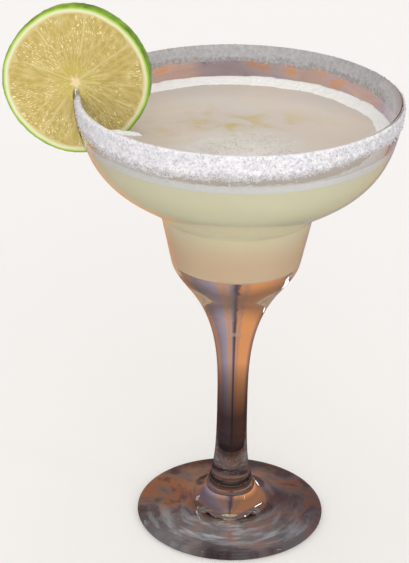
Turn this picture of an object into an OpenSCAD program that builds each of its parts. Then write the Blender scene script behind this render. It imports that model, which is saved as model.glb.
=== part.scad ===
// Margarita: a stepped stem glass with a salted rim, a cloudy lime drink with a
// froth collar, and a lime wheel slit and pushed onto the rim.
// Millimetres, +Z up. The origin is the centre of the ring that the foot rests on.
// -X is the side of the rim that carries the lime wheel, -Y is the front.

/* [Glass] */
// Height of the glass from the table to the lip
glass_h = 172; // [140:1:210]
// Outer diameter at the lip
rim_d = 116; // [96:1:140]
// Wall thickness at the lip
rim_wall = 1.8; // [1.4:0.1:2.6]
// Height of the wide upper bowl above its step
bowl_h = 43.5; // [36:0.5:52]
// Outer diameter of the lower cup at the step
cup_top_d = 56; // [46:1:62]
// Outer diameter of the lower cup at its bottom
cup_low_d = 48; // [40:1:52]
// Height of the lower cup
cup_h = 19; // [15:0.5:24]
// Wall thickness of the lower cup
cup_wall = 2.6; // [2:0.1:3.4]
// Depth of the rounded floor of the cavity below the lower cup's wall
floor_drop = 2.4; // [1.6:0.2:6.4]
// Length of the curve that eases the step between cup and bowl
step_ease = 1.8; // [1:0.1:3]

/* [Stem] */
// Diameter of the stem at its waist
stem_d = 11.5; // [9:0.1:14]
// Height of the waist above the table
waist_z = 48; // [38:1:60]
// Diameter of the solid shoulder under the cup
shoulder_d = 37.6; // [31:0.2:42]
// Drop from the lower cup's wall to the shoulder
shoulder_drop = 9.5; // [8:0.5:12]

/* [Foot] */
// Diameter of the foot
foot_d = 72; // [60:1:86]
// Thickness of the foot at its edge
foot_edge_t = 2.8; // [2.2:0.1:3.6]
// Width of the flat ring that the foot stands on
foot_ring_w = 7; // [5:0.5:9]
// Height of the hollow under the foot
foot_hollow = 1.8; // [1:0.1:2.2]

/* [Drink] */
// Distance from the lip down to the drink's surface
drink_drop = 13.4; // [11:0.2:16]
// Width of the froth collar along the wall
collar_w = 4.8; // [3.5:0.1:6.5]
// Height of the froth where it climbs the wall
collar_h = 1.9; // [1.2:0.1:2.6]
// Height of the raft of froth on the surface
raft_h = 0.9; // [0.6:0.1:1.4]
// Width of the raft along the front wall
raft_w = 34; // [28:1:44]
// Reach of the raft from the collar towards the middle
raft_reach = 50; // [36:1:56]
// Place of the raft's middle to the right of the glass's middle
raft_x = 0; // [-8:1:8]

/* [Salt] */
// Mean height of the salt crust below the lip
salt_h = 7.6; // [6:0.2:10]
// Mean thickness of the salt crust
salt_t = 1.3; // [0.9:0.1:1.6]

/* [Lime] */
// Mean diameter of the lime wheel
lime_d = 53.6; // [44:0.2:64]
// Thickness of the slice
lime_t = 4.6; // [3.6:0.1:6]
// Height of the wheel's middle above the lip
lime_up = 5.5; // [4.5:0.5:7.5]
// Distance of the wheel's middle inwards from the glass's outer edge
lime_in = 0.4; // [0:0.1:1.5]
// Turn of the wheel about the vertical
lime_turn = 9; // [-12:1:12]
// Thickness of rind and pith together
peel_t = 2.6; // [2:0.1:3.4]
// Drop of the core below the wheel's middle
core_drop = 0.5; // [0:0.1:2.5]
// Width of the membranes between the segments
membrane_w = 0.6; // [0.4:0.05:0.9]
// Depth of the flesh below the cut peel, on each face
flesh_sink = 0.3; // [0.1:0.05:0.5]

/* [Fits] */
// Clearance between the contents and the glass, and between salt and glass
fill_gap = 0.05; // [0.02:0.01:0.15]
// Clearance of the lime wheel's slit round the salted wall
slit_gap = 0.2; // [0.1:0.05:0.4]

/* [Hidden] */
LATHE_FN = 128;
CURVE_STEPS = 14;
SALT_STEPS = 120;
SALT_ROWS = 6;
SALT_TOP_GAP = 0.2;
SALT_BULGE_MAX = 1.3;
LIME_STEPS = 90;
SEGMENT_STEPS = 8;
CORE_R = 1.6;
RAFT_STEPS = 48;
SLIT_REACH = 4;
SEGMENT_ANGLES = [0, 38, 81, 127, 162, 203, 239, 275, 310, 338];

// Handles of the glass's curves, as shares of the run that each curve covers.
BOWL_LOW_PULL = [0.367, 0.253];
BOWL_TOP_PULL = [0.946, 0.278];
FOOT_PULL = [0.21, 0.09];
STEM_LOW_PULL = 0.8;
STEM_TOP_PULL = 0.36;
SHOULDER_PULL = [0.7, 0.31];
HOLLOW_PULL = [0.4, 0.6, 0.2];
SHOULDER_PITCH = [0.58, 0.81];
SHOULDER_REACH = 4;

rim_r = rim_d / 2;
lip_r = rim_wall / 2;
step_r = cup_top_d / 2;
step_z = glass_h - bowl_h;
cup_low_z = step_z - cup_h;
cavity_z = cup_low_z - floor_drop;
shoulder_z = cup_low_z - shoulder_drop;
stem_r = stem_d / 2;
foot_r = foot_d / 2;
drink_z = glass_h - drink_drop;
lime_r = lime_d / 2;
lime_x = lime_in - rim_r;
lime_z = glass_h + lime_up;

// ---- curves -------------------------------------------------------------------

// Points of a cubic Bezier from a to d with handles b and c, the first one left out.
function bezier(a, b, c, d, steps = CURVE_STEPS) =
    [for (i = [1:steps]) let (t = i / steps, u = 1 - t)
        u * u * u * a + 3 * u * u * t * b + 3 * u * t * t * c + t * t * t * d];

// Points of an ellipse's arc about c, with half axes r and h, the first one left out.
function arc(c, r, h, from, to, steps = CURVE_STEPS) =
    [for (i = [1:steps]) let (a = from + (to - from) * i / steps)
        [c.x + r * cos(a), c.y + h * sin(a)]];

function last(list) = list[len(list) - 1];
function unit(v) = v / norm(v);

// ---- the glass's outline, as [radius, height] ------------------------------------

cup_slope = unit([step_r - cup_low_d / 2, cup_h]);
bowl_run = [rim_r - step_r, bowl_h];
bowl_low_handle = [step_r + BOWL_LOW_PULL.x * bowl_run.x, step_z + BOWL_LOW_PULL.y * bowl_run.y];
bowl_top_handle = [step_r + BOWL_TOP_PULL.x * bowl_run.x, step_z + BOWL_TOP_PULL.y * bowl_run.y];
bowl_start = unit(bowl_low_handle - [step_r, step_z]);
cup_end = [step_r, step_z] - step_ease * cup_slope;
bowl_low = [step_r, step_z] + step_ease * bowl_start;
bowl_top = [rim_r, glass_h - lip_r];
shoulder = [shoulder_d / 2, shoulder_z];
shoulder_slope = unit(SHOULDER_PITCH);
cup_low = [cup_low_d / 2, cup_low_z];
waist = [stem_r, waist_z];
stem_run = shoulder_z - waist_z;

// The wide bowl's outside, from the step to the start of the rounded lip.
bowl_outside = concat(
    bezier(cup_end, [step_r, step_z], [step_r, step_z], bowl_low, 6),
    bezier(bowl_low, bowl_low_handle, bowl_top_handle, bowl_top, 26));

// The lower cup and the wide bowl together, from the cup's bottom to the lip.
wall_outside = concat([cup_low, cup_end], bowl_outside);

// How far a wall point lies from the bottom of the cup, as a share of the wall's height.
function wall_share(p) = (p.y - cup_low_z) / (glass_h - lip_r - cup_low_z);

// Direction square to the wall's outside at point i, into the cavity.
function inwards(i) =
    let (a = wall_outside[max(i - 1, 0)],
         b = wall_outside[min(i + 1, len(wall_outside) - 1)],
         d = unit(b - a))
    i == len(wall_outside) - 1 ? [-1, 0] : [-d.y, d.x];

// The wall's inside: the outside moved inwards by a wall that thins towards the lip.
wall_inside = [for (i = [0:len(wall_outside) - 1])
    let (p = wall_outside[i])
        p + (cup_wall + (rim_wall - cup_wall) * wall_share(p)) * inwards(i)];

lip = arc([rim_r - lip_r, glass_h - lip_r], lip_r, lip_r, 0, 180, 10);

cavity_low = wall_inside[0];
cavity_floor = arc([0, cavity_low.y], cavity_low.x, cavity_low.y - cavity_z, 0, -90, 18);

function reversed(list) = [for (i = [len(list) - 1:-1:0]) list[i]];

edge_r = foot_edge_t / 2;
foot_outside = concat(
    [[0, foot_hollow]],
    bezier([0, foot_hollow], [HOLLOW_PULL[0] * foot_r, foot_hollow],
        [HOLLOW_PULL[1] * foot_r, HOLLOW_PULL[2] * foot_hollow],
        [foot_r - edge_r - foot_ring_w, 0], 10),
    [[foot_r - edge_r, 0]],
    arc([foot_r - edge_r, edge_r], edge_r, edge_r, -90, 80, 8));

stem_outside = concat(
    bezier(last(foot_outside), [FOOT_PULL.x * foot_r, foot_edge_t + FOOT_PULL.y * waist_z],
        waist - [0, STEM_LOW_PULL * waist_z], waist, 24),
    bezier(waist, waist + [0, STEM_TOP_PULL * stem_run],
        shoulder - [SHOULDER_PULL.x * shoulder.x, SHOULDER_PULL.y * stem_run], shoulder, 20),
    bezier(shoulder, shoulder + SHOULDER_REACH * shoulder_slope,
        cup_low - SHOULDER_REACH * cup_slope, cup_low, 8));

glass_outline = concat(
    foot_outside, stem_outside, [cup_end], bowl_outside, lip,
    reversed([for (i = [0:len(wall_inside) - 2]) wall_inside[i]]),
    cavity_floor);

// ---- radii read off the walls at a height ---------------------------------------------

outside_by_height = concat([for (p = wall_outside) [p.y, p.x]], [for (i = [0:4]) [lip[i].y, lip[i].x]]);
inside_by_height = concat(
    reversed([for (p = cavity_floor) [p.y, p.x]]),
    [for (p = wall_inside) [p.y, p.x]]);

function outside_r(z) = lookup(z, outside_by_height);
function inside_r(z) = lookup(z, inside_by_height);

// ---- sub-parts ----------------------------------------------------------------------------

// The glass: one solid lathe form from its foot to the rounded lip.
module glass() {
    color([0.86, 0.88, 0.87, 0.5])
    rotate_extrude($fn = LATHE_FN)
        polygon(glass_outline);
}

// The cavity up to height z, smaller than the glass's inside by a clearance.
module cavity_to(z, gap) {
    low = [for (p = reversed(inside_by_height)) if (p[0] < z) [max(p[1] - gap, 0), p[0] + gap]];
    rotate_extrude($fn = LATHE_FN)
        polygon(concat([[0, z], [inside_r(z) - gap, z]], low));
}

// The cloudy drink, cut round the part of the lime wheel that dips into it.
module drink() {
    color([0.82, 0.79, 0.64])
    difference() {
        cavity_to(drink_z, fill_gap);
        at_rim() disc(fill_gap);
    }
}

// Outline of the raft of froth: a lobed oval whose front lies under the collar.
function raft_outline() =
    let (half_y = (raft_reach + collar_w / 2) / 2,
         y0 = collar_w - inside_r(drink_z) + raft_reach - half_y)
    [for (i = [0:RAFT_STEPS - 1])
        let (a = 360 * i / RAFT_STEPS, lobes = 1 + 0.05 * sin(3 * a + 40) + 0.04 * sin(7 * a))
        [raft_x + raft_w / 2 * cos(a) * lobes, y0 + half_y * sin(a) * lobes]];

// Froth: a collar that climbs the wall, and a raft at the front joined to it.
module foam() {
    r = inside_r(drink_z) - fill_gap;
    top = inside_r(drink_z + collar_h) - fill_gap;
    color([0.93, 0.92, 0.88])
    difference() {
        union() {
            rotate_extrude($fn = LATHE_FN)
                polygon(concat(
                    [[r, drink_z], [top, drink_z + collar_h]],
                    bezier([top, drink_z + collar_h], [top - 0.35 * collar_w, drink_z + collar_h],
                        [r - 0.7 * collar_w, drink_z + 0.55 * collar_h], [r - collar_w, drink_z], 8)));
            intersection() {
                translate([0, 0, drink_z])
                    linear_extrude(raft_h)
                        polygon(raft_outline());
                cylinder(h = glass_h, r = r - 0.5 * collar_w, $fn = LATHE_FN);
            }
        }
        at_rim() disc(fill_gap);
    }
}

// Shares of the salt's height at which its rows lie: closer together at the rounded lip.
function salt_row(i) = pow(i / SALT_ROWS, 1.6);

// Gap between the glass and the middle of a chord of the salt's inner ring.
salt_chord = rim_r * (1 - cos(180 / SALT_STEPS));

// How the salt's height and thickness change round the rim, about 1.
function salt_height_at(a) =
    1 - 0.18 * sin(a) + 0.06 * sin(2 * a + 30) + 0.05 * sin(5 * a) + 0.04 * sin(13 * a + 50);
function salt_bulge_at(a, s) = 1 + 0.12 * sin(7 * a + 240 * s) + 0.1 * sin(17 * a + 90 * s);
function salt_swell(s) = 0.35 + 0.65 * pow(sin(180 * (0.12 + 0.74 * s)), 0.6);

// One ring of the salt crust at angle a: down the glass, then back up the outside.
function salt_ring(a) =
    let (top = glass_h - SALT_TOP_GAP, h = salt_h * salt_height_at(a))
    [for (i = [0:2 * SALT_ROWS + 1])
        let (outer = i > SALT_ROWS,
             s = salt_row(outer ? 2 * SALT_ROWS + 1 - i : i),
             z = top - s * h,
             grip = fill_gap + salt_chord,
             r = outside_r(z) + grip + (outer ? salt_t * salt_swell(s) * salt_bulge_at(a, s) : 0))
        [r * cos(a), r * sin(a), z]];

// The crust of coarse salt round the outside of the rim, out to its ragged outline.
module salt_rim() {
    per = 2 * SALT_ROWS + 2;
    rings = [for (i = [0:SALT_STEPS - 1]) salt_ring(360 * i / SALT_STEPS)];
    points = [for (ring = rings, p = ring) p];
    faces = [for (i = [0:SALT_STEPS - 1], j = [0:per - 1])
        let (a = i * per + j,
             b = i * per + (j + 1) % per,
             c = ((i + 1) % SALT_STEPS) * per + (j + 1) % per,
             d = ((i + 1) % SALT_STEPS) * per + j)
        each [[a, b, c], [a, c, d]]];
    color([0.95, 0.95, 0.95])
        polyhedron(points, faces);
}

// Radius of the lime wheel's edge at angle a: nearly round, a little long from low left to top right.
function lime_edge(a) =
    lime_r * (1 + 0.023 * cos(2 * a - 116) + 0.010 * cos(4 * a - 19));

function lime_outline(grow) =
    [for (i = [0:LIME_STEPS - 1])
        let (a = 360 * i / LIME_STEPS, r = lime_edge(a) + grow)
        [r * cos(a), r * sin(a)]];

// Places a wheel that is drawn in X and Y, facing +Z, upright at the rim, facing the front.
module at_rim() {
    translate([lime_x, 0, lime_z])
        rotate([0, 0, -lime_turn])
            rotate([90, 0, 0])
                children();
}

module disc(grow) {
    translate([0, 0, -lime_t / 2 - grow])
        linear_extrude(lime_t + 2 * grow)
            polygon(lime_outline(grow));
}

// One segment's outline between two membranes, drawn about the core.
function segment_outline(from, to) =
    let (half = (to - from) / 2, tip = max(CORE_R, membrane_w / 2 / sin(half)))
    concat(
        [tip * [cos(from + half), sin(from + half)]],
        [for (i = [0:SEGMENT_STEPS])
            let (s = 2 * i / SEGMENT_STEPS - 1,
                 r0 = lime_r - peel_t,
                 inset = asin(membrane_w / 2 / r0),
                 a = from + half + s * (half - inset),
                 edge = lime_edge(a) - peel_t + core_drop * sin(a),
                 r = edge * (1 - 0.07 * pow(abs(s), 5)))
            [r * cos(a), r * sin(a)]]);

module flesh_pockets() {
    count = len(SEGMENT_ANGLES);
    for (i = [0:count - 1], side = [0, 1]) {
        from = SEGMENT_ANGLES[i];
        to = SEGMENT_ANGLES[(i + 1) % count] + (i == count - 1 ? 360 : 0);
        translate([0, -core_drop, side == 0 ? lime_t / 2 - flesh_sink : -lime_t / 2 - 1])
            linear_extrude(1 + flesh_sink)
                polygon(segment_outline(from, to));
    }
}

// The room that the slit leaves for the salted wall, up to the lip.
module salted_wall_room() {
    low = lime_z - lime_r - SLIT_REACH;
    high = glass_h + slit_gap;
    rows = 12;
    heights = [for (i = [0:rows]) low + (high - low) * i / rows];
    function salt_share(z) = min(1, max(0, (z - low) / (glass_h - salt_h - low)));
    function salt_room(z) = slit_gap + SALT_BULGE_MAX * salt_t * salt_share(z);
    function wall_z(z) = min(z, glass_h - lip_r);
    rotate_extrude($fn = LATHE_FN)
        polygon(concat(
            [for (z = heights) [outside_r(wall_z(z)) + salt_room(z), z]],
            [for (z = reversed(heights)) [inside_r(wall_z(z)) - slit_gap, z]]));
}

// The lime wheel, with its segments sunk a little and its slit round the rim.
module lime_wheel() {
    color([0.79, 0.78, 0.42])
    difference() {
        at_rim() difference() {
            disc(0);
            flesh_pockets();
        }
        salted_wall_room();
    }
}

glass();
drink();
foam();
salt_rim();
lime_wheel();
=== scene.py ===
"""Looks of a margarita: a stepped stem glass with a salted rim, a cloudy lime drink and a lime wheel.

Each sub-assembly is a class that holds its sizes in millimetres and builds its own meshes, and
each finish is a small class that builds one material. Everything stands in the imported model's
frame: +Z up, origin under the foot, the front towards -Y, the lime wheel on the -X side.
"""

import logging
import math
from dataclasses import dataclass, field
from enum import Enum
from typing import Any, Iterable, Mapping, Optional, Sequence, Union

import bmesh
import bpy
import numpy as np
from bpy.types import ID, Material, Node, NodeSocket, NodeTree, Object
from mathutils import Matrix


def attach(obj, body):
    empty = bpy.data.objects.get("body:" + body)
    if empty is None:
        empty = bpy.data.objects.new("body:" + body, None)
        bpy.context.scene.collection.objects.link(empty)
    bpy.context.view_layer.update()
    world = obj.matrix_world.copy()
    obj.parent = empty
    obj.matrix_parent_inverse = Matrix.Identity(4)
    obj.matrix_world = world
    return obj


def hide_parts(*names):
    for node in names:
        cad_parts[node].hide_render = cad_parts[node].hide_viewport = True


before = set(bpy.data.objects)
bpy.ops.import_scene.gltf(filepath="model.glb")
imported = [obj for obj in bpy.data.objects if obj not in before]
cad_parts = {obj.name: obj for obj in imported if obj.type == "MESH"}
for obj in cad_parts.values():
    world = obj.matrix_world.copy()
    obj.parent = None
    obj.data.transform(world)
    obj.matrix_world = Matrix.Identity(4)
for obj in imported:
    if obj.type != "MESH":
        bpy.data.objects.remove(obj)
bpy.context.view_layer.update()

LOG = logging.getLogger("margarita")
MM = 0.001
Array = np.ndarray
Colour = tuple[float, float, float, float]
Socket = Union[int, str]
Ends = tuple[float, float]


# ---- colours and nodes ---------------------------------------------------------------------------


def linear(hex_colour: str) -> Colour:
    """Turns an sRGB hex colour into the linear colour that shaders take.

    Args:
        hex_colour: Six hex digits after a hash, such as "#c8b869".

    Returns:
        Red, green, blue and alpha, each from 0 to 1.
    """
    parts = [int(hex_colour[i : i + 2], 16) / 255 for i in (1, 3, 5)]
    red, green, blue = (c / 12.92 if c <= 0.04045 else ((c + 0.055) / 1.055) ** 2.4 for c in parts)
    return (red, green, blue, 1.0)


def add_node(tree: NodeTree, kind: str, inputs: Optional[Mapping[Socket, Any]] = None) -> Node:
    """Adds one node, sets its properties and sockets, and links its inputs.

    Args:
        tree: The node tree it joins.
        kind: The node's type, without its "ShaderNode" prefix.
        inputs: Property or input name, or input number, to its value, or to the socket or the
            node that feeds it. A node feeds it from the first output that is in use.

    Returns:
        The new node.
    """
    made = tree.nodes.new("ShaderNode" + kind)
    sockets = {}
    for name, value in (inputs or {}).items():
        if isinstance(name, str) and name not in made.inputs:
            setattr(made, name, value)
        else:
            sockets[name] = value
    for name, value in sockets.items():
        if isinstance(value, Node):
            value = next(output for output in value.outputs if output.enabled)
        if isinstance(value, NodeSocket):
            tree.links.new(value, made.inputs[name])
        else:
            made.inputs[name].default_value = value
    return made


def maths(tree: NodeTree, operation: str, *values: Any, clamp: bool = False) -> Node:
    """One step of arithmetic on numbers, sockets or nodes."""
    return add_node(tree, "Math", {"operation": operation, "use_clamp": clamp, **dict(enumerate(values))})


def map_range(tree: NodeTree, value: Any, old: Ends = (0.0, 1.0), new: Ends = (0.0, 1.0)) -> Node:
    """Carries a value over from one range to another, and holds it at the ends."""
    names = ("From Min", "From Max", "To Min", "To Max")
    return add_node(tree, "MapRange", {"Value": value, **dict(zip(names, (*old, *new)))})


def noise_at(tree: NodeTree, place: Any, size_mm: float, **settings: float) -> Node:
    """Smooth noise whose features are about size_mm across, with its other inputs by name."""
    inputs = {name.capitalize(): value for name, value in settings.items()}
    return add_node(tree, "TexNoise", {"Vector": place, "Scale": 1 / (size_mm * MM), **inputs})


def new_material(name: str) -> tuple[Material, NodeTree, NodeSocket]:
    """Makes an empty node material.

    Args:
        name: What the real material is and how it was made.

    Returns:
        The material, its tree, and the socket of the object's own coordinates.
    """
    material = bpy.data.materials.new(name)
    material.use_nodes = True
    tree = material.node_tree
    tree.nodes.clear()
    return (material, tree, add_node(tree, "TexCoord").outputs["Object"])


def set_ramp(ramp: Node, stops: Sequence[tuple[float, str]]) -> Node:
    """Gives a colour ramp its stops.

    Args:
        ramp: A ColorRamp node.
        stops: Each stop's place from 0 to 1 and its sRGB hex colour, in order.

    Returns:
        The same node.
    """
    elements = ramp.color_ramp.elements
    while len(elements) < len(stops):
        elements.new(1.0)
    for element, (place, colour) in zip(elements, stops):
        element.position = place
        element.color = linear(colour)
    return ramp


def painted(tree: NodeTree, base: Node, coats: Sequence[tuple[Union[Node, NodeSocket], str]]) -> Node:
    """Lays flat colours over a base one after another, each as far as its mask says.

    Args:
        tree: The node tree they join.
        base: The node that gives the base colour.
        coats: Each coat's mask, from 0 to 1, and its sRGB hex colour, the lowest coat first.

    Returns:
        The node that gives the painted colour.
    """
    for mask, colour in coats:
        base = add_node(tree, "Mix", {"data_type": "RGBA", 0: mask, 6: base, 7: linear(colour)})
    return base


# ---- curves and fields ---------------------------------------------------------------------------


def bezier(a: Array, b: Array, c: Array, d: Array, steps: int) -> Array:
    """Points of a cubic Bezier, the first one left out.

    The point at share t is (1-t)^3 a + 3(1-t)^2 t b + 3(1-t) t^2 c + t^3 d.

    Args:
        a, b, c, d: Start, its handle, the end's handle and the end.
        steps: How many points.

    Returns:
        An array of shape (steps, 2).
    """
    t = np.linspace(0, 1, steps + 1)[1:, None]
    u = 1 - t
    return u**3 * a + 3 * u * u * t * b + 3 * u * t * t * c + t**3 * d


def arc(centre: Array, half_r: float, half_z: float, start: float, end: float, steps: int) -> Array:
    """Points of an ellipse's arc, the first one left out.

    The point at angle a is the centre plus (half_r cos a, half_z sin a).

    Args:
        centre: Its middle, as radius and height.
        half_r: Half axis along the radius.
        half_z: Half axis along the height.
        start: First angle, in degrees.
        end: Last angle, in degrees.
        steps: How many points.

    Returns:
        An array of shape (steps, 2).
    """
    angles = np.radians(np.linspace(start, end, steps + 1)[1:])
    return np.stack([centre[0] + half_r * np.cos(angles), centre[1] + half_z * np.sin(angles)], 1)


def ease(x: Array, low: float, high: float) -> Array:
    """Smooth step: 0 below low, 1 above high, and 3t^2 - 2t^3 of the share between."""
    t = np.clip((x - low) / (high - low), 0, 1)
    return t * t * (3 - 2 * t)


def hashed(i: Array, j: Array, seed: int) -> Array:
    """A fixed pseudo-random number from 0 to 1 for each pair of whole numbers.

    It is the fraction of sin(12.9898 i + 78.233 j + 37.719 seed) times 43758.5453.

    Args:
        i, j: The whole numbers.
        seed: Picks the sequence.

    Returns:
        One number for each pair.
    """
    return np.modf(np.abs(np.sin(i * 12.9898 + j * 78.233 + seed * 37.719) * 43758.5453))[0]


def value_noise(x: Array, y: Array, seed: int) -> Array:
    """Smooth noise: hashed values at whole numbers, blended with a smooth step.

    Args:
        x, y: Where it is read.
        seed: Picks the pattern.

    Returns:
        A value from -1 to 1 for each point.
    """
    i, j = np.floor(x), np.floor(y)
    s, t = ease(x - i, 0, 1), ease(y - j, 0, 1)
    low = hashed(i, j, seed) * (1 - s) + hashed(i + 1, j, seed) * s
    high = hashed(i, j + 1, seed) * (1 - s) + hashed(i + 1, j + 1, seed) * s
    return 2 * (low * (1 - t) + high * t) - 1


def around(columns: int) -> Array:
    """Evenly spaced angles of one whole turn, as a row."""
    return np.linspace(0, 2 * math.pi, columns, endpoint=False)[None, :]


def polar_points(r: Array, angles: Array, z: Array) -> Array:
    """Points at a radius, an angle and a height: (r cos a, r sin a, z)."""
    return np.stack(np.broadcast_arrays(r * np.cos(angles), r * np.sin(angles), z), -1)


def ring_noise(angles: Array, radius: float, seed: int, shift: float = 0.0) -> Array:
    """Noise read along a circle, at (radius cos a + shift, radius sin a + shift), so it has no seam."""
    return value_noise(radius * np.cos(angles) + shift, radius * np.sin(angles) + shift, seed)


def bubble_caps(x: Array, y: Array, cell: float, fill: float, seed: int) -> Array:
    """Height of a layer of bubbles: the tallest round cap over each point.

    Each square cell holds one bubble at a hashed place with a hashed radius, and a cap's height
    at distance d from its middle is sqrt(radius^2 - d^2). The nine cells about a point are read.

    Args:
        x, y: Where the layer is read.
        cell: Spacing of the bubbles.
        fill: Share of the cell that the largest bubble's radius takes.
        seed: Picks the layout.

    Returns:
        The height over each point, 0 between bubbles.
    """
    i, j = np.floor(x / cell), np.floor(y / cell)
    best = np.zeros_like(x)
    for di in (-1, 0, 1):
        for dj in (-1, 0, 1):
            a, b = i + di, j + dj
            cx = (a + 0.2 + 0.6 * hashed(a, b, seed)) * cell
            cy = (b + 0.2 + 0.6 * hashed(a, b, seed + 1)) * cell
            radius = cell * fill * (0.35 + 0.65 * hashed(a, b, seed + 2))
            rest = radius**2 - (x - cx) ** 2 - (y - cy) ** 2
            best = np.maximum(best, np.sqrt(np.maximum(rest, 0)))
    return best


# ---- meshes --------------------------------------------------------------------------------------


@dataclass
class Surface:
    """Points in millimetres with the quads, triangles and point attributes of one mesh."""

    points: Array
    quads: Array = field(default_factory=lambda: np.zeros((0, 4), int))
    triangles: Array = field(default_factory=lambda: np.zeros((0, 3), int))
    attributes: dict[str, Array] = field(default_factory=dict)

    def joined(self, other: "Surface") -> "Surface":
        """Both surfaces as one.

        Args:
            other: The surface that follows this one's points.

        Returns:
            The joined surface, with only the attributes that both have.
        """
        shift = len(self.points)
        shared = {
            name: np.concatenate([self.attributes[name], other.attributes[name]])
            for name in self.attributes if name in other.attributes
        }
        return Surface(
            np.concatenate([self.points, other.points]), np.concatenate([self.quads, other.quads + shift]),
            np.concatenate([self.triangles, other.triangles + shift]), shared
        )

    def build(self, name: str, materials: Sequence[Material], smooth: bool = True) -> Object:
        """Makes the object, in metres, at the origin.

        Args:
            name: The piece's name.
            materials: Its material slots.
            smooth: Whether its faces are shaded smooth.

        Returns:
            The linked object.
        """
        mesh = bpy.data.meshes.new(name)
        faces = self.quads.tolist() + self.triangles.tolist()
        mesh.from_pydata((self.points * MM).tolist(), [], faces)
        mesh.polygons.foreach_set("use_smooth", np.full(len(faces), smooth))
        for key, values in self.attributes.items():
            kind = "FLOAT_VECTOR" if values.ndim == 2 else "FLOAT"
            slot = "vector" if values.ndim == 2 else "value"
            layer = mesh.attributes.new(key, kind, "POINT")
            layer.data.foreach_set(slot, values.astype(np.float32).ravel())
        for material in materials:
            mesh.materials.append(material)
        mesh.update()
        made = bpy.data.objects.new(name, mesh)
        bpy.context.scene.collection.objects.link(made)
        return made


def grid_quads(rows: int, columns: int, wrap_rows: bool = False, wrap_columns: bool = True) -> Array:
    """Quads of a grid whose point (i, j) has index i * columns + j.

    Args:
        rows: Number of rows.
        columns: Number of columns.
        wrap_rows: Whether the last row joins the first.
        wrap_columns: Whether the last column joins the first.

    Returns:
        An array of shape (n, 4), facing (column step) x (row step).
    """
    i = np.arange(rows if wrap_rows else rows - 1)[:, None]
    j = np.arange(columns if wrap_columns else columns - 1)[None, :]
    i2, j2 = (i + 1) % rows, (j + 1) % columns
    corners = [i * columns + j, i * columns + j2, i2 * columns + j2, i2 * columns + j]
    return np.stack([np.broadcast_to(c, (i.size, j.size)) for c in corners], -1).reshape(-1, 4)


def shell(grid: Array, first: Array, last: Array, attributes: Optional[dict[str, Array]] = None) -> Surface:
    """A closed skin: rows of a grid that wrap round, closed by a point at each end.

    Args:
        grid: Points of shape (rows, columns, 3).
        first: The point that closes the first row.
        last: The point that closes the last row.
        attributes: Values of shape (rows, columns); each pole takes its row's mean.

    Returns:
        The surface.
    """
    rows, columns = grid.shape[:2]
    j = np.arange(columns)
    nxt = (j + 1) % columns
    pole_a, pole_b = rows * columns, rows * columns + 1
    base = (rows - 1) * columns
    low = np.stack([np.full(columns, pole_a), nxt, j], 1)
    high = np.stack([base + j, base + nxt, np.full(columns, pole_b)], 1)
    made = {
        name: np.concatenate([v.ravel(), [v[0].mean(), v[-1].mean()]]) for name,
        v in (attributes or {}).items()
    }
    points = np.concatenate([grid.reshape(-1, 3), first[None], last[None]])
    return Surface(points, grid_quads(rows, columns), np.concatenate([low, high]), made)


def turned(profile: Array, columns: int) -> Array:
    """Carries a profile round the axis: (r cos a, r sin a, z) at each of the columns' angles.

    Args:
        profile: Radius and height, of shape (rows, 2).
        columns: How many angles.

    Returns:
        Points of shape (rows, columns, 3).
    """
    return polar_points(profile[:, :1], around(columns), profile[:, 1:])


def stand(name: str, data: ID, axes: Sequence[Array], place: Array) -> Object:
    """Links a camera or a lamp to the scene.

    Args:
        name: Its name.
        data: The camera or the lamp.
        axes: Its own X, Y and Z axes.
        place: Where it stands, in metres.

    Returns:
        The linked object.
    """
    made = bpy.data.objects.new(name, data)
    bpy.context.scene.collection.objects.link(made)
    matrix = np.eye(4)
    matrix[:3] = np.column_stack([*axes, place])
    made.matrix_world = Matrix(matrix.tolist())
    return made


def dress(piece: Object, node: str) -> Object:
    """Puts a piece on the root body, in a CAD node's place.

    Args:
        piece: The piece.
        node: The CAD node that it replaces.

    Returns:
        The same piece.
    """
    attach(piece, "root")
    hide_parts(node)
    count = sum(len(p.vertices) - 2 for p in piece.data.polygons)
    LOG.info("%s: %d triangles, for %s", piece.name, count, node)
    return piece


# ---- the glass's form ----------------------------------------------------------------------------


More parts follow.
